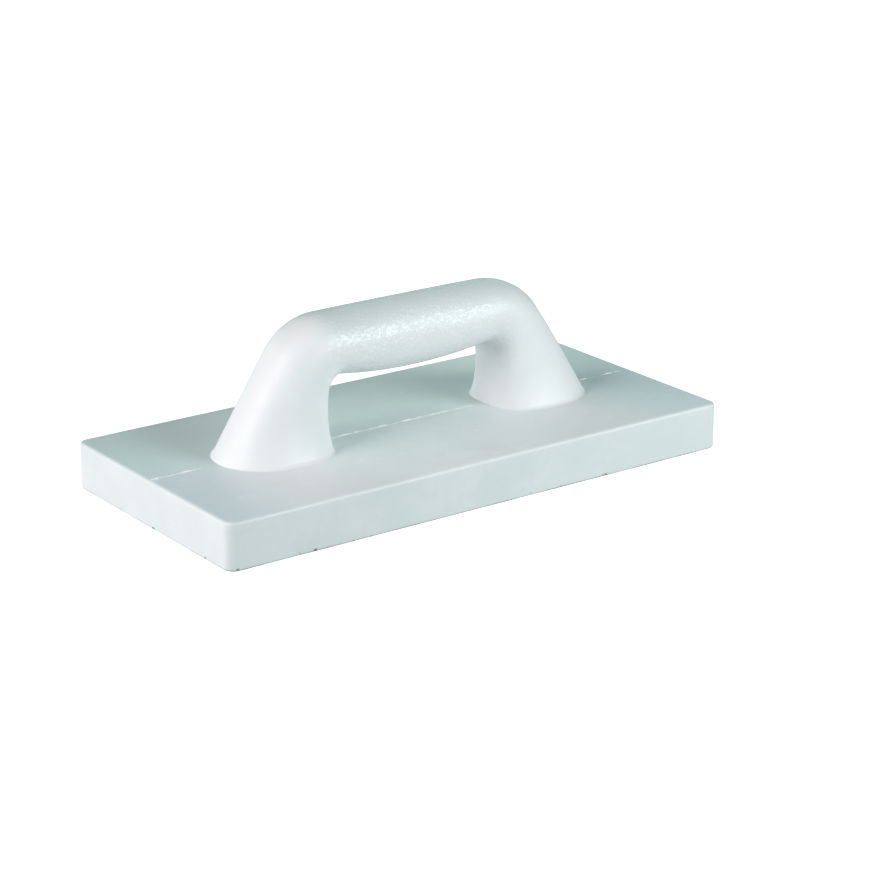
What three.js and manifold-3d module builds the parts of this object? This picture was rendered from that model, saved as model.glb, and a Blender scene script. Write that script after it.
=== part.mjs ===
import * as THREE from "three";
import { mergeVertices } from "three/addons/utils/BufferGeometryUtils.js";
import Module from "manifold-3d";

// Hand float for plaster and screed: a flat foamed-plastic board with a bridge handle that is
// screwed on from underneath. Millimetres, X along the board, Y across it, Z up. The origin is
// the centre of the working face, which is the underside of the board.

// Board
const BOARD_LENGTH = 270;
const BOARD_WIDTH = 130;
const BOARD_THICKNESS = 22;
const BOARD_CORNER_R = 5;
const BOARD_TOP_EDGE_R = 1.5;
const BOARD_BOTTOM_EDGE_R = 0.8;

// Handle, seen from the side: the outer outline
const FOOT_OUTER_X = 100;
const SHOULDER_X = 62.9;
const SHOULDER_Z = 82;
const SHOULDER_R = 32.4;
const LEG_BULGE = 0.8;
const CROWN = 0.4;

// Handle, seen from the side: the outline of the finger gap
const FOOT_INNER_X = 45.6;
const LEG_INNER_X = 47;
const FOOT_FLARE_HEIGHT = 19;
const GAP_TOP_Z = 53.1;
const GAP_CORNER_R = 7.2;
const BELLY = 3.4;

// Handle sections: half-widths across the board and superellipse powers
const FOOT_HALF_WIDTH = 23;
const FOOT_FILLET = 1.8;
const LEG_HALF_WIDTH = 17.2;
const GRIP_HALF_WIDTH = 16.4;
const FOOT_FLARE_POWER = 2.5;
const OUTER_POWER = 2.08;
const FOOT_INNER_POWER = 2.8;
const LEG_INNER_POWER = 2.5;
const GRIP_INNER_POWER = 2;

// Fixings: one M6 screw for each foot, sunk in a plugged counterbore
const FIXING_X = 71.5;
const COUNTERBORE_R = 9.5;
const COUNTERBORE_DEPTH = 11;
const SCREW_HOLE_R = 3.5;
const WASHER_OUTER_R = 9;
const WASHER_THICKNESS = 1.6;
const HEAD_R = 5.25;
const HEAD_HEIGHT = 3.3;
const HEAD_FLAT_R = 2.9;
const HEAD_LOW_R = 4.1;
const HEAD_LOW_RISE = 0.75;
const HEAD_HIGH_R = 5;
const HEAD_HIGH_RISE = 1.8;
const HEAD_RIM_RISE = 2.9;
const SOCKET_ACROSS_FLATS = 4;
const SOCKET_DEPTH = 2;
const SHANK_R = 3;
const SHANK_LENGTH = 25;
const SHANK_CHAMFER = 0.6;
const INSERT_R = 4.6;
const INSERT_GROOVE_R = 4;
const INSERT_LENGTH = 13;
const INSERT_CHAMFER = 0.5;
const INSERT_POCKET_SPARE = 1.5;
const PLUG_HEIGHT = 4.5;
const PLUG_CHAMFER = 0.4;
const PLUG_RECESS = 0.3;

// Clearance between two pieces that touch
const GAP = 0.3;

// Fineness of the rounded shapes
const CORNER_STEPS = 6;
const EDGE_STEPS = 4;
const SECTION_STEPS = 32;
const LEG_STEPS = 14;
const BEND_STEPS = 8;
const GRIP_STEPS = 6;
const ROUND_STEPS = 32;
const HEX_SIDES = 6;

// How far a cutter runs past the face it starts from
const OVERCUT = 1;

// Colours
const BOARD_COLOUR = 0xdfe8e8;
const HANDLE_COLOUR = 0xf1f5f5;
const ZINC_COLOUR = 0xb9bcbe;
const BRASS_COLOUR = 0xc2a25a;

const wasm = await Module();
wasm.setup();

const { lerp, smoothstep } = THREE.MathUtils;
const QUARTER = Math.PI / 2;

// A closed geometry as a solid that can be cut.
function solidOf(geometry) {
  const bare = geometry.clone();
  bare.deleteAttribute("normal");
  bare.deleteAttribute("uv");
  const merged = mergeVertices(bare);
  const vertProperties = merged.attributes.position.array;
  const triVerts = new Uint32Array(merged.index.array);
  return new wasm.Manifold(new wasm.Mesh({ numProp: 3, vertProperties, triVerts }));
}

// A cut solid back as a flat-shaded geometry.
function geometryOf(solid) {
  const mesh = solid.getMesh();
  const indexed = new THREE.BufferGeometry();
  indexed.setAttribute("position", new THREE.BufferAttribute(mesh.vertProperties, 3));
  indexed.setIndex(new THREE.BufferAttribute(mesh.triVerts, 1));
  const geometry = indexed.toNonIndexed();
  geometry.computeVertexNormals();
  return geometry;
}

// The point at the middle of a ring of points.
function middleOf(ring) {
  const sum = new THREE.Vector3();
  ring.forEach((point) => sum.add(point));
  return sum.divideScalar(ring.length);
}

// A closed skin over rings that all have the same number of points and run anticlockwise
// about the direction of travel. The first and last rings are flat and are closed by fans.
function loft(rings) {
  const count = rings[0].length;
  const last = rings.length - 1;
  const points = [...rings.flat(), middleOf(rings[0]), middleOf(rings[last])];
  const startHub = rings.length * count;
  const endHub = startHub + 1;
  const index = [];
  for (let i = 0; i < count; i += 1) {
    const next = (i + 1) % count;
    index.push(startHub, next, i);
    for (let k = 0; k < last; k += 1) {
      const here = k * count;
      const there = here + count;
      index.push(here + i, here + next, there + next);
      index.push(here + i, there + next, there + i);
    }
    index.push(endHub, last * count + i, last * count + next);
  }
  const geometry = new THREE.BufferGeometry().setFromPoints(points);
  geometry.setIndex(index);
  geometry.computeVertexNormals();
  return geometry;
}

// A solid of revolution about Z from radius and height pairs.
function turned(profile) {
  const points = profile.map(([radius, height]) => new THREE.Vector2(radius, height));
  return new THREE.LatheGeometry(points, ROUND_STEPS).rotateX(QUARTER);
}

// An upright round or hexagonal tool for cutting, standing on z = bottom.
function cutter(radius, bottom, top, x, sides) {
  const height = top - bottom;
  const prism = new THREE.CylinderGeometry(radius, radius, height, sides);
  return solidOf(prism.rotateX(QUARTER).translate(x, 0, bottom + height / 2));
}

// The board's outline at height z, drawn in by inset all round.
function boardRing(inset, z) {
  const corners = [
    [1, 1],
    [-1, 1],
    [-1, -1],
    [1, -1],
  ];
  const radius = BOARD_CORNER_R - inset;
  return corners.flatMap(([signX, signY], quarter) => {
    const x = signX * (BOARD_LENGTH / 2 - BOARD_CORNER_R);
    const y = signY * (BOARD_WIDTH / 2 - BOARD_CORNER_R);
    return Array.from({ length: CORNER_STEPS + 1 }, (_, k) => {
      const angle = (quarter + k / CORNER_STEPS) * QUARTER;
      return new THREE.Vector3(x + radius * Math.cos(angle), y + radius * Math.sin(angle), z);
    });
  });
}

function boardBlank() {
  const rings = [];
  for (let k = 0; k <= EDGE_STEPS; k += 1) {
    const angle = (k / EDGE_STEPS) * QUARTER;
    const inset = BOARD_BOTTOM_EDGE_R * (1 - Math.sin(angle));
    rings.push(boardRing(inset, BOARD_BOTTOM_EDGE_R * (1 - Math.cos(angle))));
  }
  for (let k = 0; k <= EDGE_STEPS; k += 1) {
    const angle = (k / EDGE_STEPS) * QUARTER;
    const inset = BOARD_TOP_EDGE_R * (1 - Math.cos(angle));
    const drop = BOARD_TOP_EDGE_R * (1 - Math.sin(angle));
    rings.push(boardRing(inset, BOARD_THICKNESS - drop));
  }
  return solidOf(loft(rings));
}

// The board with a counterbore and a screw hole under each foot.
function boardGeometry() {
  let board = boardBlank();
  for (const x of [-FIXING_X, FIXING_X]) {
    const counterbore = cutter(COUNTERBORE_R, -OVERCUT, COUNTERBORE_DEPTH, x, ROUND_STEPS);
    const hole = cutter(SCREW_HOLE_R, OVERCUT, BOARD_THICKNESS + OVERCUT, x, ROUND_STEPS);
    board = board.subtract(counterbore).subtract(hole);
  }
  return geometryOf(board);
}

// The handle stands GAP above the board. Its outer outline is a raked leg, a shoulder arc and
// a slightly crowned grip. Its inner outline is an upright leg that flares at the foot, a small
// corner arc and an underside with a belly.
const FOOT_Z = BOARD_THICKNESS + GAP;
const RAKE = Math.atan2(SHOULDER_Z - FOOT_Z, FOOT_OUTER_X - SHOULDER_X);
const SHOULDER_TANGENT = SHOULDER_R * Math.tan(RAKE / 2);
const SHOULDER_CENTRE_X = SHOULDER_X - SHOULDER_TANGENT;
const SHOULDER_CENTRE_Z = SHOULDER_Z - SHOULDER_R;
const GAP_CORNER_CENTRE_X = LEG_INNER_X - GAP_CORNER_R;
const GAP_CORNER_CENTRE_Z = GAP_TOP_Z - GAP_CORNER_R;

// Heights of the fixing stack, each worked out from the piece it bears on.
const INSERT_BOTTOM_Z = FOOT_Z + GAP;
const WASHER_BOTTOM_Z = COUNTERBORE_DEPTH - GAP - WASHER_THICKNESS;
const HEAD_TOP_Z = WASHER_BOTTOM_Z - GAP;
const HEAD_BOTTOM_Z = HEAD_TOP_Z - HEAD_HEIGHT;

// How far the foot spreads at a height above its underside, by a concave quarter circle.
function filletSpread(height) {
  const drop = FOOT_FILLET - Math.min(height, FOOT_FILLET);
  return FOOT_FILLET - Math.sqrt(FOOT_FILLET ** 2 - drop ** 2);
}

// Each station pairs a point of the outer outline with one of the inner outline. s runs 0 to 1.
function legStation(s) {
  const rise = GAP_CORNER_CENTRE_Z - FOOT_Z;
  const innerZ = FOOT_Z + rise * s;
  const flare = 1 - Math.min(1, (innerZ - FOOT_Z) / FOOT_FLARE_HEIGHT);
  const innerX = lerp(LEG_INNER_X, FOOT_INNER_X, flare ** 2);
  const bulge = LEG_BULGE * 4 * s * (1 - s);
  const legTopX = SHOULDER_X + SHOULDER_TANGENT * Math.cos(RAKE);
  const legTopZ = SHOULDER_Z - SHOULDER_TANGENT * Math.sin(RAKE);
  const outerX = lerp(FOOT_OUTER_X, legTopX, s) + bulge * Math.sin(RAKE);
  const outerZ = lerp(FOOT_Z, legTopZ, s) + bulge * Math.cos(RAKE);
  const halfWidth = lerp(LEG_HALF_WIDTH, FOOT_HALF_WIDTH, (1 - s) ** FOOT_FLARE_POWER);
  return {
    outer: new THREE.Vector2(outerX, outerZ),
    inner: new THREE.Vector2(innerX, innerZ),
    halfWidth: halfWidth + filletSpread((outerZ + innerZ) / 2 - FOOT_Z),
    innerPower: lerp(FOOT_INNER_POWER, LEG_INNER_POWER, s),
  };
}

function bendStation(s) {
  const outerAngle = QUARTER - RAKE * (1 - s);
  const innerAngle = QUARTER * s;
  return {
    outer: new THREE.Vector2(
      SHOULDER_CENTRE_X + SHOULDER_R * Math.cos(outerAngle),
      SHOULDER_CENTRE_Z + SHOULDER_R * Math.sin(outerAngle),
    ),
    inner: new THREE.Vector2(
      GAP_CORNER_CENTRE_X + GAP_CORNER_R * Math.cos(innerAngle),
      GAP_CORNER_CENTRE_Z + GAP_CORNER_R * Math.sin(innerAngle),
    ),
    halfWidth: LEG_HALF_WIDTH,
    innerPower: lerp(LEG_INNER_POWER, GRIP_INNER_POWER, smoothstep(s, 0, 1)),
  };
}

function gripStation(s) {
  const arch = 1 - (1 - s) ** 2;
  return {
    outer: new THREE.Vector2(SHOULDER_CENTRE_X * (1 - s), SHOULDER_Z + CROWN * arch),
    inner: new THREE.Vector2(GAP_CORNER_CENTRE_X * (1 - s), GAP_TOP_Z - BELLY * arch),
    halfWidth: lerp(LEG_HALF_WIDTH, GRIP_HALF_WIDTH, smoothstep(s, 0, 1)),
    innerPower: GRIP_INNER_POWER,
  };
}

// Stations from the foot at +X up to the middle of the grip, closest together at the foot.
function halfHandleStations() {
  const stations = [];
  for (let k = 0; k < LEG_STEPS; k += 1) {
    stations.push(legStation((k / LEG_STEPS) ** 2));
  }
  for (let k = 0; k < BEND_STEPS; k += 1) {
    stations.push(bendStation(k / BEND_STEPS));
  }
  for (let k = 0; k <= GRIP_STEPS; k += 1) {
    stations.push(gripStation(k / GRIP_STEPS));
  }
  return stations;
}

function signedPower(value, exponent) {
  return Math.sign(value) * Math.abs(value) ** exponent;
}

// The superellipse section at a station, on the +X side or mirrored to the -X side.
function sectionRing(station, side) {
  const middle = station.outer.clone().add(station.inner).multiplyScalar(0.5);
  const reach = station.outer.clone().sub(station.inner).multiplyScalar(0.5);
  return Array.from({ length: SECTION_STEPS }, (_, i) => {
    const angle = ((i + 0.5) / SECTION_STEPS) * 2 * Math.PI;
    const power = Math.cos(angle) > 0 ? OUTER_POWER : station.innerPower;
    const along = signedPower(Math.cos(angle), 2 / power);
    const across = signedPower(Math.sin(angle), 2 / power);
    const x = side * (middle.x + reach.x * along);
    return new THREE.Vector3(x, station.halfWidth * across, middle.y + reach.y * along);
  });
}

// The handle with a blind pocket for a threaded insert in each foot.
function handleGeometry() {
  const stations = halfHandleStations();
  const right = stations.map((station) => sectionRing(station, 1));
  const left = stations.slice(0, -1).map((station) => sectionRing(station, -1));
  let handle = solidOf(loft([...right, ...left.reverse()]));
  const pocketTop = INSERT_BOTTOM_Z + INSERT_LENGTH + INSERT_POCKET_SPARE;
  for (const x of [-FIXING_X, FIXING_X]) {
    const pocket = cutter(INSERT_R + GAP, FOOT_Z - OVERCUT, pocketTop, x, ROUND_STEPS);
    handle = handle.subtract(pocket);
  }
  return geometryOf(handle);
}

// Threaded insert: a sleeve with an anchoring groove round its middle.
function insertGeometry() {
  const bore = SHANK_R + GAP;
  const third = INSERT_LENGTH / 3;
  return turned([
    [bore, 0],
    [INSERT_R - INSERT_CHAMFER, 0],
    [INSERT_R, INSERT_CHAMFER],
    [INSERT_R, third],
    [INSERT_GROOVE_R, third + INSERT_CHAMFER],
    [INSERT_GROOVE_R, 2 * third - INSERT_CHAMFER],
    [INSERT_R, 2 * third],
    [INSERT_R, INSERT_LENGTH - INSERT_CHAMFER],
    [INSERT_R - INSERT_CHAMFER, INSERT_LENGTH],
    [bore, INSERT_LENGTH],
    [bore, 0],
  ]);
}

// Button-head screw, head down, with a hexagon socket.
function screwGeometry() {
  const tip = HEAD_HEIGHT + SHANK_LENGTH;
  const profile = [
    [0, 0],
    [HEAD_FLAT_R, 0],
    [HEAD_LOW_R, HEAD_LOW_RISE],
    [HEAD_HIGH_R, HEAD_HIGH_RISE],
    [HEAD_R, HEAD_RIM_RISE],
    [HEAD_R, HEAD_HEIGHT],
    [SHANK_R, HEAD_HEIGHT],
    [SHANK_R, tip - SHANK_CHAMFER],
    [SHANK_R - SHANK_CHAMFER, tip],
    [0, tip],
  ];
  const socketCornerR = SOCKET_ACROSS_FLATS / Math.sqrt(3);
  const socket = cutter(socketCornerR, -OVERCUT, SOCKET_DEPTH, 0, HEX_SIDES);
  return geometryOf(solidOf(turned(profile)).subtract(socket));
}

function washerGeometry() {
  const bore = SHANK_R + GAP;
  return turned([
    [bore, 0],
    [WASHER_OUTER_R, 0],
    [WASHER_OUTER_R, WASHER_THICKNESS],
    [bore, WASHER_THICKNESS],
    [bore, 0],
  ]);
}

// Plug that closes the counterbore just inside the working face.
function plugGeometry() {
  const radius = COUNTERBORE_R - GAP;
  return turned([
    [0, 0],
    [radius - PLUG_CHAMFER, 0],
    [radius, PLUG_CHAMFER],
    [radius, PLUG_HEIGHT - PLUG_CHAMFER],
    [radius - PLUG_CHAMFER, PLUG_HEIGHT],
    [0, PLUG_HEIGHT],
  ]);
}

function plastic(color) {
  return new THREE.MeshStandardMaterial({ color, roughness: 0.55, metalness: 0 });
}

function metal(color) {
  return new THREE.MeshStandardMaterial({ color, roughness: 0.35, metalness: 1 });
}

function piece(name, geometry, material) {
  const mesh = new THREE.Mesh(geometry, material);
  mesh.name = name;
  return mesh;
}

// The screw, washer, insert and plug of one foot, stacked along Z.
function fixing(side, shapes) {
  const group = new THREE.Group();
  const stack = [
    piece(`${side}_insert`, shapes.insert, metal(BRASS_COLOUR)),
    piece(`${side}_screw`, shapes.screw, metal(ZINC_COLOUR)),
    piece(`${side}_washer`, shapes.washer, metal(ZINC_COLOUR)),
    piece(`${side}_plug`, shapes.plug, plastic(BOARD_COLOUR)),
  ];
  const bottoms = [INSERT_BOTTOM_Z, HEAD_BOTTOM_Z, WASHER_BOTTOM_Z, PLUG_RECESS];
  stack.forEach((mesh, i) => {
    mesh.position.z = bottoms[i];
    group.add(mesh);
  });
  return group;
}

function handFloat() {
  const group = new THREE.Group();
  group.add(piece("board", boardGeometry(), plastic(BOARD_COLOUR)));
  group.add(piece("handle", handleGeometry(), plastic(HANDLE_COLOUR)));
  const shapes = {
    insert: insertGeometry(),
    screw: screwGeometry(),
    washer: washerGeometry(),
    plug: plugGeometry(),
  };
  const left = fixing("left", shapes);
  left.position.x = -FIXING_X;
  const right = fixing("right", shapes);
  right.position.x = FIXING_X;
  group.add(left, right);
  return group;
}

export default handFloat();
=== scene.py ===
import math

import bpy
import numpy as np
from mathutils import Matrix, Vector


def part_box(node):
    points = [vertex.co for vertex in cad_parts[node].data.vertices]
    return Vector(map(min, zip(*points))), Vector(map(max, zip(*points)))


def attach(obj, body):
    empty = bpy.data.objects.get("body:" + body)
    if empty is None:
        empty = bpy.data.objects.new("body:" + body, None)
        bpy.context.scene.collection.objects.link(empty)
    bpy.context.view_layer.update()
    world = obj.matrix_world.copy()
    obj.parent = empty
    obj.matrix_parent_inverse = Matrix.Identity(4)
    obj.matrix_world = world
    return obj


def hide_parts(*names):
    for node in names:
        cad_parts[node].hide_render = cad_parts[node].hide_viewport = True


# Looks for the hand float: a foamed-plastic board, a bridge handle and the screwed fixings that
# join them. Lengths are in millimetres until mesh_object() turns them into metres.
MM = 0.001

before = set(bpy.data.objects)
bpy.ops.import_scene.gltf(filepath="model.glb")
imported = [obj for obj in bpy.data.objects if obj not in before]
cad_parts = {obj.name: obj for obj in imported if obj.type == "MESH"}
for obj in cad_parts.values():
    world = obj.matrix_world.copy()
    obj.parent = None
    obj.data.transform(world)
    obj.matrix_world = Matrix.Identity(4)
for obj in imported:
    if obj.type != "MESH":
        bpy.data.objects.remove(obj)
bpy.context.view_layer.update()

# Sizes read from the frame
board_low, board_high = (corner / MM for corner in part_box("board"))
insert_low, insert_high = (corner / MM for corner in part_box("right_insert"))
screw_low, screw_high = (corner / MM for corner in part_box("right_screw"))
washer_low, washer_high = (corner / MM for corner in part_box("right_washer"))
plug_low, plug_high = (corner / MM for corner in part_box("right_plug"))
HALF_LENGTH = board_high.x
HALF_WIDTH = board_high.y
THICKNESS = board_high.z
FIXING_X = (screw_low.x + screw_high.x) / 2

# Board
CORNER_R = 5
TOP_EDGE_R = 1.5
BOTTOM_EDGE_R = 0.8
COUNTERBORE_R = 9.5
COUNTERBORE_DEPTH = 11
SCREW_HOLE_R = 3.5

# Handle, seen from the side: the outer outline
FOOT_OUTER_X = 100
SHOULDER_X = 62.9
SHOULDER_Z = 82
SHOULDER_R = 32.4
LEG_BULGE = 0.8
CROWN = 0.4

# Handle, seen from the side: the outline of the finger gap
FOOT_INNER_X = 45.6
LEG_INNER_X = 47
FOOT_FLARE_HEIGHT = 19
GAP_TOP_Z = 53.1
GAP_CORNER_R = 7.2
BELLY = 3.4

# Handle sections: half-widths across the board and superellipse powers
FOOT_HALF_WIDTH = 23
FOOT_FILLET = 1.8
LEG_HALF_WIDTH = 17.2
GRIP_HALF_WIDTH = 16.4
FOOT_FLARE_POWER = 2.5
OUTER_POWER = 2.08
FOOT_INNER_POWER = 2.8
LEG_INNER_POWER = 2.5
GRIP_INNER_POWER = 2

QUARTER = math.pi / 2


# ---------------------------------------------------------------- mesh helpers

CREASE_ANGLE = 35
CUTTER_COUNT = 96

# How far a cutter runs past the face it starts from
OVERCUT = 1


def mesh_object(name, points, faces):
    """A smooth-shaded mesh object from points in millimetres."""
    mesh = bpy.data.meshes.new(name)
    mesh.from_pydata([tuple(p) for p in np.asarray(points, float) * MM], [], faces)
    mesh.validate()
    mesh.polygons.foreach_set("use_smooth", [True] * len(mesh.polygons))
    mesh.update()
    obj = bpy.data.objects.new(name, mesh)
    bpy.context.scene.collection.objects.link(obj)
    return obj


def strip_faces(lower, upper):
    """Quads between two closed rows of vertex indices of equal length."""
    count = len(lower)
    faces = []
    for i in range(count):
        j = (i + 1) % count
        faces.append((lower[i], lower[j], upper[j], upper[i]))
    return faces


def loft(name, rings, looped=False):
    """A closed skin over rings that run anticlockwise about the direction of travel. The first and
    the last ring are capped, or joined to each other when looped, as on a washer."""
    count = len(rings[0])
    points = [p for ring in rings for p in ring]
    rows = [range(k * count, (k + 1) * count) for k in range(len(rings))]
    next_rows = rows[1:] + rows[:1] if looped else rows[1:]
    faces = []
    for lower, upper in zip(rows, next_rows):
        faces += strip_faces(lower, upper)
    if not looped:
        faces.append(tuple(reversed(rows[0])))
        faces.append(tuple(rows[-1]))
    return mesh_object(name, points, faces)


def turned_ring(radius, z, count, wobble=None):
    """Points of a circle about Z. wobble(angles) adds to the radius."""
    angles = np.arange(count) / count * 2 * math.pi
    radii = radius + (wobble(angles) if wobble else 0 * angles)
    return np.stack([radii * np.cos(angles), radii * np.sin(angles), 0 * angles + z], axis=1)


def crisp_edges(obj, degrees=CREASE_ANGLE):
    """Sharp shading where faces meet at more than the given angle."""
    obj.data.set_sharp_from_angle(angle=math.radians(degrees))
    return obj


def cut(obj, cutters):
    """Subtracts each cutter from obj and removes the cutters."""
    for tool in cutters:
        modifier = obj.modifiers.new("cut", "BOOLEAN")
        modifier.operation = "DIFFERENCE"
        modifier.solver = "EXACT"
        modifier.object = tool
    bpy.context.view_layer.update()
    evaluated = obj.evaluated_get(bpy.context.evaluated_depsgraph_get())
    result = bpy.data.meshes.new_from_object(evaluated)
    obj.modifiers.clear()
    obj.data = result
    for tool in cutters:
        bpy.data.objects.remove(tool)
    return obj


def round_cutter(radius, bottom, top, x):
    rings = [turned_ring(radius, z, CUTTER_COUNT) + (x, 0, 0) for z in (bottom, top)]
    return loft("cutter", rings)


# ---------------------------------------------------------------- board

CORNER_STEPS = 8
EDGE_STEPS = 8
SIDE_STEPS = 10
COLUMN_STEP = 0.75
WIDE_ROWS_START = 10
WIDE_ROWS = 10

# Moulding flash along the centreline of the top: its size, and the places along X where it begins
# and is full at the left end, in the finger gap and at the right end
FLASH_HEIGHT = 0.6
FLASH_HALF_WIDTH = 0.48
LEFT_FLASH = (-104, -116)
GAP_FLASH = (-47, -43)
GAP_FLASH_FADE = (5, 48)
RIGHT_FLASH = (98, 104)


def grid_lines(half, core_positions):
    """Grid lines across one axis: each is a core position and a share of the corner zone."""
    core = half - CORNER_R
    shares = np.arange(1, CORNER_STEPS + 1) / CORNER_STEPS
    low = [(-core, -s) for s in reversed(shares)]
    high = [(core, s) for s in shares]
    return np.array(low + [(p, 0) for p in core_positions] + high)


def board_columns():
    core = HALF_LENGTH - CORNER_R
    count = round(2 * core / COLUMN_STEP)
    return grid_lines(HALF_LENGTH, np.linspace(-core, core, count + 1))


def board_rows():
    """Rows are close together along the centreline, where the moulding flash stands."""
    core = HALF_WIDTH - CORNER_R
    near = FLASH_HALF_WIDTH * np.array([1 / 3, 2 / 3, 1, 1.4, 2, 4, 8, 13])
    far = np.linspace(WIDE_ROWS_START, core, WIDE_ROWS)
    half = np.concatenate([near, far])
    return grid_lines(HALF_WIDTH, np.concatenate([-half[::-1], [0], half]))


def plan_position(column, row, radius):
    """Where a grid crossing lies in plan on an outline with the given corner radius."""
    (core_x, share_x), (core_y, share_y) = column, row
    across, along = abs(share_x), abs(share_y)
    if across and along:
        reach = max(across, along)
        angle = QUARTER / 2 * min(across, along) / reach
        if along > across:
            angle = QUARTER - angle
        across, along = reach * math.cos(angle), reach * math.sin(angle)
    x = core_x + math.copysign(across, share_x) * radius
    y = core_y + math.copysign(along, share_y) * radius
    return x, y


def blend(a, b, t):
    return a + (b - a) * t


def smooth_step(value, low, high):
    """Rises smoothly from 0 at low to 1 at high. High may be the smaller of the two."""
    t = np.clip((value - low) / (high - low), 0, 1)
    return t * t * (3 - 2 * t)


def flash_height(x):
    """Height of the beaded flash along the centreline: full at the left end of the board and in
    the finger gap, where it fades to the right, and low and broken at the right end."""
    waves = math.sin(x * 0.9) + math.sin(x * 2.3 + 1.1) + math.sin(x * 0.37 + 0.6)
    beads = blend(0.3, 1, smooth_step(waves, -1, 1.6))
    left = smooth_step(x, *LEFT_FLASH)
    middle = smooth_step(x, *GAP_FLASH) * blend(1, 0.4, smooth_step(x, *GAP_FLASH_FADE))
    dashes = smooth_step(waves, -0.4, 0.4)
    right = 0.4 * smooth_step(x, *RIGHT_FLASH) * dashes
    return FLASH_HEIGHT * beads * (left + middle + right)


def top_height(x, y):
    ridge = max(0, 1 - abs(y) / FLASH_HALF_WIDTH)
    return THICKNESS + (flash_height(x) * ridge if ridge else 0)


def board_profile():
    """Inset and height of each outline ring between the top face and the bottom face."""
    profile = []
    for k in range(1, EDGE_STEPS + 1):
        angle = QUARTER * k / EDGE_STEPS
        inset = TOP_EDGE_R * (1 - math.sin(angle))
        profile.append((inset, THICKNESS - TOP_EDGE_R * (1 - math.cos(angle))))
    for k in range(1, SIDE_STEPS):
        side = THICKNESS - TOP_EDGE_R - BOTTOM_EDGE_R
        profile.append((0, THICKNESS - TOP_EDGE_R - side * k / SIDE_STEPS))
    for k in range(EDGE_STEPS):
        angle = QUARTER * k / EDGE_STEPS
        inset = BOTTOM_EDGE_R * (1 - math.cos(angle))
        profile.append((inset, BOTTOM_EDGE_R * (1 - math.sin(angle))))
    return profile


def make_board():
    """The top and bottom faces are grids of quads, and their rims are joined down the sides."""
    columns, rows = board_columns(), board_rows()
    wide, deep = len(columns), len(rows)
    rim = [(i, 0) for i in range(wide)] + [(wide - 1, j) for j in range(1, deep)]
    rim += [(i, deep - 1) for i in range(wide - 2, -1, -1)] + [(0, j) for j in range(deep - 2, 0, -1)]
    points, faces = [], []

    def face_grid(radius, height, upward):
        start = len(points)
        for row in rows:
            for column in columns:
                x, y = plan_position(column, row, radius)
                points.append((x, y, height(x, y)))
        for j in range(deep - 1):
            for i in range(wide - 1):
                corner = start + j * wide + i
                quad = (corner, corner + 1, corner + wide + 1, corner + wide)
                faces.append(quad if upward else quad[::-1])
        return [start + j * wide + i for i, j in rim]

    upper = face_grid(CORNER_R - TOP_EDGE_R, top_height, True)
    for inset, z in board_profile():
        start = len(points)
        for i, j in rim:
            x, y = plan_position(columns[i], rows[j], CORNER_R - inset)
            points.append((x, y, z))
        lower = list(range(start, start + len(rim)))
        faces.extend(strip_faces(lower, upper))
        upper = lower
    lower = face_grid(CORNER_R - BOTTOM_EDGE_R, lambda x, y: 0, False)
    faces.extend(strip_faces(lower, upper))
    board = mesh_object("float_board", points, faces)
    cutters = []
    for x in (-FIXING_X, FIXING_X):
        cutters.append(round_cutter(COUNTERBORE_R, -OVERCUT, COUNTERBORE_DEPTH, x))
        cutters.append(round_cutter(SCREW_HOLE_R, OVERCUT, THICKNESS + OVERCUT, x))
    return crisp_edges(cut(board, cutters))


# ---------------------------------------------------------------- handle

SECTION_STEPS = 128
LEG_STEPS = 60
BEND_STEPS = 30
GRIP_STEPS = 24
SEAT_LIFT = 0.03
POCKET_CLEARANCE = 0.1
POCKET_HEADROOM = 1

FOOT_Z = THICKNESS + SEAT_LIFT
RAKE = math.atan2(SHOULDER_Z - FOOT_Z, FOOT_OUTER_X - SHOULDER_X)
SHOULDER_TANGENT = SHOULDER_R * math.tan(RAKE / 2)
SHOULDER_CENTRE_X = SHOULDER_X - SHOULDER_TANGENT
SHOULDER_CENTRE_Z = SHOULDER_Z - SHOULDER_R
GAP_CORNER_CENTRE_X = LEG_INNER_X - GAP_CORNER_R
GAP_CORNER_CENTRE_Z = GAP_TOP_Z - GAP_CORNER_R


def fillet_spread(height):
    """How far the foot spreads at a height above its underside, by a concave quarter circle."""
    drop = FOOT_FILLET - min(height, FOOT_FILLET)
    return FOOT_FILLET - math.sqrt(FOOT_FILLET**2 - drop**2)


def leg_station(s):
    """Outer point, inner point, half-width and inner power, from the foot (0) to the bends (1)."""
    inner_z = blend(FOOT_Z, GAP_CORNER_CENTRE_Z, s)
    flare = 1 - min(1, (inner_z - FOOT_Z) / FOOT_FLARE_HEIGHT)
    inner_x = blend(LEG_INNER_X, FOOT_INNER_X, flare**2)
    bulge = LEG_BULGE * 4 * s * (1 - s)
    leg_top_x = SHOULDER_X + SHOULDER_TANGENT * math.cos(RAKE)
    leg_top_z = SHOULDER_Z - SHOULDER_TANGENT * math.sin(RAKE)
    outer_x = blend(FOOT_OUTER_X, leg_top_x, s) + bulge * math.sin(RAKE)
    outer_z = blend(FOOT_Z, leg_top_z, s) + bulge * math.cos(RAKE)
    half_width = blend(LEG_HALF_WIDTH, FOOT_HALF_WIDTH, (1 - s) ** FOOT_FLARE_POWER)
    half_width += fillet_spread((outer_z + inner_z) / 2 - FOOT_Z)
    inner_power = blend(FOOT_INNER_POWER, LEG_INNER_POWER, s)
    return (outer_x, outer_z), (inner_x, inner_z), half_width, inner_power


def arc_point(centre_x, centre_z, radius, angle):
    return centre_x + radius * math.cos(angle), centre_z + radius * math.sin(angle)


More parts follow.
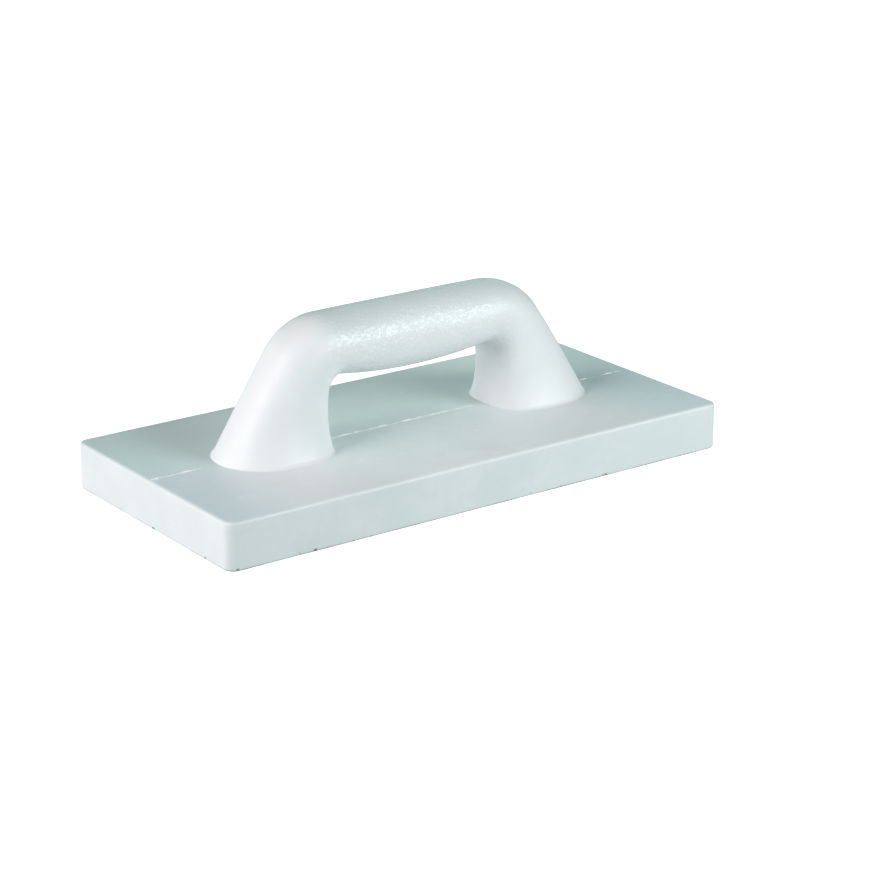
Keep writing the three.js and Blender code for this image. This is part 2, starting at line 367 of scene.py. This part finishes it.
def bend_station(s):
    """From the top of the leg (0) to the end of the grip (1)."""
    outer = arc_point(SHOULDER_CENTRE_X, SHOULDER_CENTRE_Z, SHOULDER_R, QUARTER - RAKE * (1 - s))
    inner = arc_point(GAP_CORNER_CENTRE_X, GAP_CORNER_CENTRE_Z, GAP_CORNER_R, QUARTER * s)
    inner_power = blend(LEG_INNER_POWER, GRIP_INNER_POWER, smooth_step(s, 0, 1))
    return outer, inner, LEG_HALF_WIDTH, inner_power


def grip_station(s):
    """From the end of the grip (0) to its middle (1)."""
    arch = 1 - (1 - s) ** 2
    outer = (SHOULDER_CENTRE_X * (1 - s), SHOULDER_Z + CROWN * arch)
    inner = (GAP_CORNER_CENTRE_X * (1 - s), GAP_TOP_Z - BELLY * arch)
    half_width = blend(LEG_HALF_WIDTH, GRIP_HALF_WIDTH, smooth_step(s, 0, 1))
    return outer, inner, half_width, GRIP_INNER_POWER


def signed_power(value, exponent):
    return np.sign(value) * np.abs(value) ** exponent


def section_ring(station, side):
    """The superellipse section at a station, on the +X side or mirrored to the -X side."""
    outer, inner, half_width, inner_power = station
    middle = (np.array(outer) + inner) / 2
    reach = (np.array(outer) - inner) / 2
    angles = (np.arange(SECTION_STEPS) + 0.5) / SECTION_STEPS * 2 * math.pi
    power = np.where(np.cos(angles) > 0, OUTER_POWER, inner_power)
    along = signed_power(np.cos(angles), 2 / power)
    across = signed_power(np.sin(angles), 2 / power)
    x = side * (middle[0] + reach[0] * along)
    z = middle[1] + reach[1] * along
    return np.stack([x, half_width * across, z], axis=1)


def make_handle():
    stations = [leg_station((k / LEG_STEPS) ** 2) for k in range(LEG_STEPS)]
    stations += [bend_station(k / BEND_STEPS) for k in range(BEND_STEPS)]
    stations += [grip_station(k / GRIP_STEPS) for k in range(GRIP_STEPS + 1)]
    right = [section_ring(station, 1) for station in stations]
    left = [section_ring(station, -1) for station in stations[:-1]]
    handle = loft("float_handle", right + left[::-1])
    pocket_r = (insert_high.x - insert_low.x) / 2 + POCKET_CLEARANCE
    pocket_top = insert_high.z + POCKET_HEADROOM
    cutters = [round_cutter(pocket_r, THICKNESS - OVERCUT, pocket_top, x) for x in (-FIXING_X, FIXING_X)]
    return crisp_edges(cut(handle, cutters))


# ---------------------------------------------------------------- fixings

ROUND_COUNT = 64
ROUNDED_CORNER_POINTS = 6
CHAMFER = 0.5
SMALL_CHAMFER = 0.1

# Screw
SHANK_R = 3
NECK = 0.3
THREAD_PITCH = 1
THREAD_DEPTH = 0.6
THREAD_RUN_OUT = 1.2
THREAD_RING_STEP = 0.1
HEAD_HEIGHT = 3.3
HEAD_FLAT_R = 2.9
HEAD_FLAT_INNER_SHARE = 0.98
HEAD_RIM = 0.4
DOME_STEPS = 12
SOCKET_ACROSS_FLATS = 4
SOCKET_DEPTH = 2
SOCKET_POINT_DEPTH = 0.6
SOCKET_POINT_R = 0.1
HEX_SIDES = 6

# Insert
INSERT_COUNT = 3 * ROUND_COUNT
INSERT_RING_STEP = 1.5 * THREAD_RING_STEP
INSERT_BORE_R = 3.25
INSERT_THREAD_DEPTH = 0.2
INSERT_GROOVE_DEPTH = 0.6
KNURL_COUNT = 40
KNURL_PITCH = 1.1
KNURL_DEPTH = 0.25

# Washer
WASHER_CLEARANCE = 0.3
WASHER_EDGE_R = 0.3

# Plug: the dimple at its moulding gate is in [radius, depth] pairs
GATE_DIMPLE = ((0.2, 0.5), (1.2, 0.46), (1.9, 0.2), (2.3, 0.04), (2.6, 0))
PLUG_EDGE_R = 0.5
RIB_DEPTH = 0.15
RIBS_PER_HEIGHT = 5
CENTRE_R = 0.2


def triangle_wave(phase):
    """Falls from 1 to 0 and rises again over each whole number of phase."""
    return np.abs(2 * (phase % 1) - 1)


def thread_wave(z, depth):
    """A right-hand thread for turned_ring at height z: it cuts into the radius by up to depth."""
    return lambda angles: -depth * triangle_wave(z / THREAD_PITCH - angles / (2 * math.pi))


def knurl_wave(z):
    """Diamond knurling for turned_ring at height z."""

    def wave(angles):
        turn = angles / (2 * math.pi) * KNURL_COUNT
        up = triangle_wave(turn + z / KNURL_PITCH)
        down = triangle_wave(turn - z / KNURL_PITCH)
        return -KNURL_DEPTH * np.maximum(up, down)

    return wave


def rounded_corner(radius, z, reach, start):
    """[radius, height] pairs of a quarter turn about a corner centre, from the start angle."""
    angles = math.radians(start) + np.linspace(0, QUARTER, ROUNDED_CORNER_POINTS)
    return [(radius + reach * math.cos(a), z + reach * math.sin(a)) for a in angles]


def make_screw(name, x):
    low, head_top, tip = screw_low.z, screw_low.z + HEAD_HEIGHT, screw_high.z
    head_r = (screw_high.x - screw_low.x) / 2
    dome = head_top - low - HEAD_RIM
    rings = [turned_ring(HEAD_FLAT_R * HEAD_FLAT_INNER_SHARE, low, ROUND_COUNT)]
    for k in range(DOME_STEPS + 1):
        angle = QUARTER * k / DOME_STEPS
        radius = HEAD_FLAT_R + (head_r - HEAD_FLAT_R) * math.sin(angle)
        rings.append(turned_ring(radius, low + dome * (1 - math.cos(angle)), ROUND_COUNT))
    rings.append(turned_ring(head_r, head_top - SMALL_CHAMFER, ROUND_COUNT))
    rings.append(turned_ring(head_r - SMALL_CHAMFER, head_top, ROUND_COUNT))
    rings.append(turned_ring(SHANK_R + NECK, head_top, ROUND_COUNT))
    for z in np.arange(head_top + NECK, tip - CHAMFER, THREAD_RING_STEP):
        depth = THREAD_DEPTH * smooth_step(z, head_top + NECK, head_top + THREAD_RUN_OUT)
        rings.append(turned_ring(SHANK_R, z, ROUND_COUNT, thread_wave(z, depth)))
    rings.append(turned_ring(SHANK_R - THREAD_DEPTH, tip - SMALL_CHAMFER, ROUND_COUNT))
    rings.append(turned_ring(SHANK_R - THREAD_DEPTH - SMALL_CHAMFER, tip, ROUND_COUNT))
    screw = loft(name, [ring + (x, 0, 0) for ring in rings])
    corner_r = SOCKET_ACROSS_FLATS / math.sqrt(3)
    floor_z = low + SOCKET_DEPTH
    point = (SOCKET_POINT_R, floor_z + SOCKET_POINT_DEPTH)
    profile = [(corner_r, low - OVERCUT), (corner_r, floor_z), point]
    socket = [turned_ring(radius, z, HEX_SIDES) + (x, 0, 0) for radius, z in profile]
    return crisp_edges(cut(screw, [loft("cutter", socket)]))


def make_insert(name, x):
    bottom, top = insert_low.z, insert_high.z
    outer_r = (insert_high.x - insert_low.x) / 2
    third = (top - bottom) / 3
    bore_r = INSERT_BORE_R + INSERT_THREAD_DEPTH
    slack = 0.01
    rings = [turned_ring(outer_r - CHAMFER, bottom, INSERT_COUNT)]
    for z in np.arange(bottom + CHAMFER, top - CHAMFER + slack, INSERT_RING_STEP):
        in_groove = abs(z - (bottom + top) / 2) < third / 2
        if in_groove:
            rings.append(turned_ring(outer_r - INSERT_GROOVE_DEPTH, z, INSERT_COUNT))
        else:
            rings.append(turned_ring(outer_r, z, INSERT_COUNT, knurl_wave(z)))
    rings.append(turned_ring(outer_r - CHAMFER, top, INSERT_COUNT))
    for z in np.arange(top, bottom - slack, -INSERT_RING_STEP):
        rings.append(turned_ring(bore_r, z, INSERT_COUNT, thread_wave(z, INSERT_THREAD_DEPTH)))
    return crisp_edges(loft(name, [ring + (x, 0, 0) for ring in rings], looped=True))


def make_washer(name, x):
    bottom, top = washer_low.z, washer_high.z
    outer_r = (washer_high.x - washer_low.x) / 2
    bore_r = SHANK_R + WASHER_CLEARANCE
    edge = WASHER_EDGE_R
    profile = rounded_corner(outer_r - edge, bottom + edge, edge, -90)
    profile += rounded_corner(outer_r - edge, top - edge, edge, 0)
    profile += rounded_corner(bore_r + edge, top - edge, edge, 90)
    profile += rounded_corner(bore_r + edge, bottom + edge, edge, 180)
    rings = [turned_ring(radius, z, ROUND_COUNT * 2) + (x, 0, 0) for radius, z in profile]
    return crisp_edges(loft(name, rings, looped=True))


def make_plug(name, x):
    """A push-in plug: dimpled at its moulding gate, rounded at the rim and ribbed round the side."""
    bottom, top = plug_low.z, plug_high.z
    radius = (plug_high.x - plug_low.x) / 2
    profile = [(r, bottom + depth) for r, depth in GATE_DIMPLE]
    profile.append((radius * 0.6, bottom))
    profile += rounded_corner(radius - PLUG_EDGE_R, bottom + PLUG_EDGE_R, PLUG_EDGE_R, -90)
    for share in np.linspace(0.2, 0.8, 25):
        rib = RIB_DEPTH * (0.5 - 0.5 * math.cos(share * RIBS_PER_HEIGHT * 2 * math.pi))
        profile.append((radius - rib, bottom + share * (top - bottom)))
    profile += rounded_corner(radius - PLUG_EDGE_R, top - PLUG_EDGE_R, PLUG_EDGE_R, 0)
    profile.append((CENTRE_R, top))
    rings = [turned_ring(r, z, ROUND_COUNT * 2) + (x, 0, 0) for r, z in profile]
    return crisp_edges(loft(name, rings), 60)


# ---------------------------------------------------------------- materials


class Surface:
    """A procedural material on the Principled shader, patterned in object space."""

    def __init__(self, name, roughness, metallic=0.0):
        self.material = bpy.data.materials.new(name)
        self.material.use_nodes = True
        self.tree = self.material.node_tree
        self.shader = self.tree.nodes["Principled BSDF"]
        self.shader.inputs["Roughness"].default_value = roughness
        self.shader.inputs["Metallic"].default_value = metallic
        self.place = self.node("ShaderNodeTexCoord").outputs["Object"]
        self.relief = None

    def node(self, kind, **settings):
        node = self.tree.nodes.new(kind)
        for key, value in settings.items():
            setattr(node, key, value)
        return node

    def feed(self, socket, value):
        """Links an output to a socket, or sets the socket to a number or a colour."""
        if isinstance(value, bpy.types.NodeSocket):
            self.tree.links.new(value, socket)
        elif socket.type == "RGBA":
            socket.default_value = (*value, 1)
        else:
            socket.default_value = value

    def stretched(self, stretch, turn=0.0):
        """The place with each axis scaled, after a turn about Z in degrees."""
        mapping = self.node("ShaderNodeMapping", vector_type="TEXTURE")
        self.feed(mapping.inputs["Vector"], self.place)
        mapping.inputs["Rotation"].default_value = (0, 0, math.radians(turn))
        mapping.inputs["Scale"].default_value = stretch
        return mapping.outputs["Vector"]

    def noise(self, size, detail=2.0, place=None):
        """Smooth noise from 0 to 1 with features of about the given size in millimetres."""
        node = self.node("ShaderNodeTexNoise")
        self.feed(node.inputs["Vector"], place or self.place)
        node.inputs["Scale"].default_value = 1 / (size * MM)
        node.inputs["Detail"].default_value = detail
        return node.outputs["Fac"]

    def cells(self, size):
        """Distance from the nearest of scattered points that are about size millimetres apart."""
        node = self.node("ShaderNodeTexVoronoi")
        self.feed(node.inputs["Vector"], self.place)
        node.inputs["Scale"].default_value = 1 / (size * MM)
        return node.outputs["Distance"]

    def axis(self, letter):
        node = self.node("ShaderNodeSeparateXYZ")
        self.feed(node.inputs["Vector"], self.place)
        return node.outputs[letter]

    def remap(self, value, low, high, start=0.0, end=1.0):
        """Takes low..high smoothly to start..end and holds the ends."""
        node = self.node("ShaderNodeMapRange", interpolation_type="SMOOTHSTEP")
        self.feed(node.inputs["Value"], value)
        node.inputs["From Min"].default_value = low
        node.inputs["From Max"].default_value = high
        node.inputs["To Min"].default_value = start
        node.inputs["To Max"].default_value = end
        return node.outputs["Result"]

    def along(self, letter, low, high, start=0.0, end=1.0):
        """Takes low..high in millimetres on one axis smoothly to start..end."""
        return self.remap(self.axis(letter), low * MM, high * MM, start, end)

    def away(self, letter, low, high, start=0.0, end=1.0):
        """The same by the distance from the middle plane across the axis, on both its sides."""
        distance = self.math("ABSOLUTE", self.axis(letter), 0)
        return self.remap(distance, low * MM, high * MM, start, end)

    def both(self, first, second):
        """The product of two masks."""
        return self.math("MULTIPLY", first, second)

    def math(self, operation, first, second):
        node = self.node("ShaderNodeMath", operation=operation)
        self.feed(node.inputs[0], first)
        self.feed(node.inputs[1], second)
        return node.outputs["Value"]

    def mix(self, factor, first, second):
        """A colour between the first, at factor 0, and the second, at factor 1."""
        node = self.node("ShaderNodeMix", data_type="RGBA")
        sockets = {socket.identifier: socket for socket in node.inputs}
        self.feed(sockets["Factor_Float"], factor)
        self.feed(sockets["A_Color"], first)
        self.feed(sockets["B_Color"], second)
        return next(socket for socket in node.outputs if socket.identifier == "Result_Color")

    def emboss(self, height, depth):
        """Adds relief of the given depth in millimetres to any relief already there."""
        node = self.node("ShaderNodeBump")
        node.inputs["Distance"].default_value = depth * MM
        self.feed(node.inputs["Height"], height)
        if self.relief:
            self.feed(node.inputs["Normal"], self.relief)
        self.relief = node.outputs["Normal"]
        self.feed(self.shader.inputs["Normal"], self.relief)

    def emboss_coat(self, height, depth):
        """Relief on the clear gloss alone."""
        node = self.node("ShaderNodeBump")
        node.inputs["Distance"].default_value = depth * MM
        self.feed(node.inputs["Height"], height)
        self.feed(self.shader.inputs["Coat Normal"], node.outputs["Normal"])

    def paint(self, colour, roughness):
        self.feed(self.shader.inputs["Base Color"], colour)
        self.feed(self.shader.inputs["Roughness"], roughness)
        return self.material


BOARD_PALE = (0.85, 0.88, 0.88)
BOARD_DEEP = (0.79, 0.835, 0.835)
# Painted shade: a cooler, darker tint for the ends of the board's top
BOARD_END_SHADE = (0.71, 0.81, 0.84)
# Painted shade: a greener tint for the rear half of the board's top
BOARD_REAR_SHADE = (0.67, 0.86, 0.80)
HANDLE_PALE = (0.90, 0.915, 0.92)
HANDLE_DEEP = (0.86, 0.885, 0.89)
# Painted shade: a cool, darker tint for the top of the grip
HANDLE_TOP_SHADE = (0.79, 0.885, 0.87)
# Painted shade: the colour for the recesses between the grip's pebbles
HOLLOW_SHADE = (0.74, 0.78, 0.78)
CHALK = (0.96, 0.97, 0.97)
DUST = (0.62, 0.64, 0.63)
# Painted shade: the grey for the line along the bottom edge
BOTTOM_EDGE_SHADE = (0.30, 0.33, 0.32)
DIRT = (0.10, 0.11, 0.105)

# Where the painted shade tints and the grip's grain begin and are full, in millimetres along an axis or
# away from it
END_SHADE_ZONE = (75, 130)
REAR_SHADE_ZONE = (-12, 24)
GRIP_FADE = (44, 60)
GRIP_BOTTOM = (44, 54)
GRIP_TOP_SHADE_ZONE = (66, 80)


def foam_colour(skin, pale, deep):
    """Two close tints in soft clouds with a finer mottle, and scattered tiny grey pores."""
    clouds = skin.remap(skin.noise(38, 3), 0.35, 0.68)
    mottle = skin.remap(skin.noise(5, 3), 0.42, 0.72, 0, 0.45)
    colour = skin.mix(clouds, pale, deep)
    colour = skin.mix(mottle, colour, deep)
    pores = skin.remap(skin.cells(3.1), 0.05, 0.085, 0.5, 0)
    return skin.mix(pores, colour, DUST)


def board_material():
    """Foam skin with painted shade: cooler near the ends of the top and greener over its rear half. Fine
    scuffs on the top, a white flash line that is partly a painted highlight, a grey line of painted shade
    along the bottom edge, and dark grit there."""
    skin = Surface("board_skin", 0.46)
    colour = foam_colour(skin, BOARD_PALE, BOARD_DEEP)
    top = skin.along("Z", THICKNESS - 1, THICKNESS)
    # Painted shade: the top turns cooler and darker towards both ends
    colour = skin.mix(skin.both(skin.away("X", *END_SHADE_ZONE), top), colour, BOARD_END_SHADE)
    # Painted shade: the top turns greener towards the rear
    colour = skin.mix(skin.both(skin.along("Y", *REAR_SHADE_ZONE, 0, 0.5), top), colour, BOARD_REAR_SHADE)
    streaks = skin.remap(skin.noise(0.9, 1, skin.stretched((9, 1, 1), 3)), 0.62, 0.7)
    patches = skin.remap(skin.noise(24, 2), 0.5, 0.62)
    scuffs = skin.both(skin.both(streaks, patches), top)
    colour = skin.mix(skin.both(scuffs, 0.45), colour, CHALK)
    # The flash is painted chalk white: partly its own whiter plastic, partly a painted highlight where the
    # ridge catches the light
    flash = skin.along("Z", THICKNESS + 0.04, THICKNESS + 0.14)
    colour = skin.mix(flash, colour, CHALK)
    ends = skin.away("X", HALF_LENGTH - 2.5, HALF_LENGTH - 1)
    sides = skin.away("Y", HALF_WIDTH - 2.5, HALF_WIDTH - 1)
    rim = skin.math("MAXIMUM", ends, sides)
    # Painted shade: a grey line, broken by noise, along the bottom edge where the board meets the floor
    broken_rim = skin.both(skin.remap(skin.noise(17, 2), 0.36, 0.6, 0.25, 0.75), rim)
    bottom_edge_shade = skin.both(skin.along("Z", 0.5, 1, 1, 0), broken_rim)
    colour = skin.mix(bottom_edge_shade, colour, BOTTOM_EDGE_SHADE)
    grit = skin.both(skin.remap(skin.cells(5.5), 0.11, 0.19, 1, 0), rim)
    grit = skin.both(grit, skin.remap(skin.noise(7, 1), 0.44, 0.5))
    grit = skin.both(grit, skin.along("Z", 0.8, 1.8, 1, 0))
    colour = skin.mix(grit, colour, DIRT)
    skin.emboss(skin.noise(14, 2), 0.08)
    skin.emboss(skin.noise(1.3, 0), 0.05)
    skin.emboss(scuffs, 0.03)
    return skin.paint(colour, skin.remap(skin.noise(8, 3), 0.3, 0.7, 0.4, 0.54))


def handle_material():
    """Smooth legs, and a pebbled grip with a clear gloss that sparkles on the pebbles, painted shade
    between the pebbles and a cool painted shade over the top of the grip.
    """
    skin = Surface("handle_skin", 0.42)
    colour = foam_colour(skin, HANDLE_PALE, HANDLE_DEEP)
    between_legs = skin.away("X", *GRIP_FADE, 1, 0)
    grip = skin.both(between_legs, skin.along("Z", *GRIP_BOTTOM))
    # Painted shade: the top of the grip is tinted cool and darker, as light from above falls on it
    grip_top_shade = skin.both(between_legs, skin.along("Z", *GRIP_TOP_SHADE_ZONE))
    colour = skin.mix(skin.both(grip, 0.6), colour, CHALK)
    colour = skin.mix(grip_top_shade, colour, HANDLE_TOP_SHADE)
    pebbles = skin.remap(skin.cells(1.15), 0, 0.7, 1, 0)
    # Painted shade: darker between the pebbles, strongest farthest from each pebble's centre
    hollow_shade = skin.both(skin.remap(pebbles, 0.2, 0.8, 0.32, 0), grip)
    colour = skin.mix(hollow_shade, colour, HOLLOW_SHADE)
    skin.emboss(skin.noise(14, 1), 0.06)
    skin.emboss(skin.both(pebbles, grip), 0.045)
    skin.emboss_coat(pebbles, 0.28)
    skin.feed(skin.shader.inputs["Coat Weight"], skin.both(grip, 0.62))
    skin.shader.inputs["Coat Roughness"].default_value = 0.05
    return skin.paint(colour, skin.remap(skin.noise(6, 3), 0.3, 0.7, 0.4, 0.5))


def plug_material():
    """The board's foam colours with a tighter, shinier moulded skin."""
    skin = Surface("plug_skin", 0.42)
    colour = foam_colour(skin, BOARD_PALE, BOARD_DEEP)
    skin.emboss(skin.noise(0.5, 2), 0.015)
    return skin.paint(colour, skin.remap(skin.noise(3, 3), 0.3, 0.7, 0.34, 0.5))


def zinc_material(name, roughness):
    """Bright zinc plating with turning lines, faint blue and yellow clouds and a few dull spots."""
    skin = Surface(name, roughness, 1.0)
    bluish, yellowish, dull = (0.62, 0.65, 0.69), (0.70, 0.68, 0.62), (0.42, 0.42, 0.41)
    colour = skin.mix(skin.remap(skin.noise(2.5, 3), 0.35, 0.65), bluish, yellowish)
    spots = skin.remap(skin.noise(0.8, 2), 0.62, 0.72, 0, 0.7)
    colour = skin.mix(spots, colour, dull)
    skin.emboss(skin.noise(0.25, 2, skin.stretched((1, 1, 0.2))), 0.01)
    return skin.paint(colour, skin.remap(skin.noise(1.2, 3), 0.3, 0.7, roughness - 0.08, roughness + 0.12))


def brass_material():
    """Machined brass, browned a little in patches."""
    skin = Surface("insert_brass_turned", 0.3, 1.0)
    colour = skin.mix(skin.remap(skin.noise(2, 3), 0.4, 0.7), (0.78, 0.60, 0.28), (0.55, 0.38, 0.16))
    skin.emboss(skin.noise(0.25, 2, skin.stretched((1, 1, 0.2))), 0.01)
    return skin.paint(colour, skin.remap(skin.noise(1, 3), 0.3, 0.7, 0.24, 0.44))


# ---------------------------------------------------------------- stage

FLOOR_HALF_SIZE = 6000
PAPER = (0.8, 0.8, 0.8)
PAPER_GLOW = 0.85
BOUNCE = (0.43, 0.51, 0.53)
AIM = Vector((0, 0, 0.04))
CAMERA_PLACE = (-0.65807, -0.92828, 0.41018)
CAMERA_AZIMUTH = -36.0475
CAMERA_ELEVATION = 19.1402
CAMERA_LENS = 108.24


def make_floor():
    """A white floor that sends pale grey-green light back up to the object."""
    half = FLOOR_HALF_SIZE
    corners = [(-half, -half, 0), (half, -half, 0), (half, half, 0), (-half, half, 0)]
    floor = mesh_object("floor", corners, [(0, 1, 2, 3)])
    material = bpy.data.materials.new("floor_paper")
    material.use_nodes = True
    tree = material.node_tree
    white = tree.nodes["Principled BSDF"]
    white.inputs["Base Color"].default_value = (*PAPER, 1)
    white.inputs["Roughness"].default_value = 0.9
    white.inputs["Specular IOR Level"].default_value = 0
    white.inputs["Emission Color"].default_value = (1, 1, 1, 1)
    white.inputs["Emission Strength"].default_value = PAPER_GLOW
    bounce = tree.nodes.new("ShaderNodeEmission")
    bounce.inputs["Color"].default_value = (*BOUNCE, 1)
    seen = tree.nodes.new("ShaderNodeLightPath").outputs["Is Camera Ray"]
    either = tree.nodes.new("ShaderNodeMixShader")
    tree.links.new(seen, either.inputs["Fac"])
    tree.links.new(bounce.outputs["Emission"], either.inputs[1])
    tree.links.new(white.outputs["BSDF"], either.inputs[2])
    tree.links.new(either.outputs["Shader"], tree.nodes["Material Output"].inputs["Surface"])
    material.cycles.emission_sampling = "NONE"
    floor.data.materials.append(material)


def make_world():
    """White behind the floor's far edge, and dark to the object, which the softboxes light."""
    world = bpy.data.worlds.new("studio")
    world.use_nodes = True
    tree = world.node_tree
    background = tree.nodes["Background"]
    background.inputs["Color"].default_value = (1, 1, 1, 1)
    seen = tree.nodes.new("ShaderNodeLightPath").outputs["Is Camera Ray"]
    tree.links.new(seen, background.inputs["Strength"])
    bpy.context.scene.world = world


def direction(azimuth, elevation):
    """Towards the given azimuth in degrees, 0 at -Y and 90 at +X, and elevation."""
    turn, rise = math.radians(azimuth), math.radians(elevation)
    return Vector((math.sin(turn) * math.cos(rise), -math.cos(turn) * math.cos(rise), math.sin(rise)))


def softbox(name, azimuth, elevation, distance, size, power, colour, mirrored=True):
    """A round soft light that faces the object from the given distance in metres. One that is
    not mirrored lights the object without showing in its gloss."""
    light = bpy.data.lights.new(name, "AREA")
    light.shape = "DISK"
    light.size = size
    light.energy = power
    light.color = colour
    lamp = bpy.data.objects.new(name, light)
    bpy.context.scene.collection.objects.link(lamp)
    outward = direction(azimuth, elevation)
    lamp.location = AIM + outward * distance
    lamp.rotation_mode = "QUATERNION"
    lamp.rotation_quaternion = (-outward).to_track_quat("-Z", "Y")
    lamp.visible_glossy = mirrored


def make_lights():
    softbox("left_softbox", -90, 32, 1.8, 1.1, 16.5, (1, 0.96, 0.98))
    softbox("left_back_softbox", -120, 15, 1.8, 1.1, 10, (1, 0.93, 0.95))
    softbox("left_spot", -75, 20, 1.8, 0.5, 5, (1, 1, 0.97))
    softbox("front_softbox", 30, 25, 0.9, 0.6, 5.8, (0.94, 1, 1))
    softbox("right_back_softbox", 135, 15, 1.8, 1.1, 2, (0.5, 1, 0.9))
    softbox("back_softbox", 180, 15, 1.8, 1.1, 6.5, (0.5, 1, 1), mirrored=False)


def make_camera():
    data = bpy.data.cameras.new("camera")
    data.sensor_width = 36
    data.lens = CAMERA_LENS
    data.clip_end = 20
    camera = bpy.data.objects.new("camera", data)
    bpy.context.scene.collection.objects.link(camera)
    camera.location = CAMERA_PLACE
    tilt = math.radians(90 - CAMERA_ELEVATION)
    camera.rotation_euler = (tilt, 0, math.radians(CAMERA_AZIMUTH))
    bpy.context.scene.camera = camera


# ---------------------------------------------------------------- the scene


def finish_piece(piece, node, material):
    """Gives a piece its material and hands it over in place of its CAD node."""
    piece.data.materials.clear()
    piece.data.materials.append(material)
    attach(piece, "root")
    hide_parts(node)


make_camera()
make_floor()
make_world()
make_lights()
bpy.context.scene.view_settings.view_transform = "Standard"

finish_piece(make_board(), "board", board_material())
finish_piece(make_handle(), "handle", handle_material())
plug_skin = plug_material()
screw_zinc = zinc_material("screw_zinc", 0.28)
washer_zinc = zinc_material("washer_zinc", 0.36)
insert_brass = brass_material()
for side, x in (("left", -FIXING_X), ("right", FIXING_X)):
    finish_piece(make_screw(f"{side}_machine_screw", x), f"{side}_screw", screw_zinc)
    finish_piece(make_washer(f"{side}_wide_washer", x), f"{side}_washer", washer_zinc)
    finish_piece(make_insert(f"{side}_brass_insert", x), f"{side}_insert", insert_brass)
    finish_piece(make_plug(f"{side}_push_plug", x), f"{side}_plug", plug_skin)
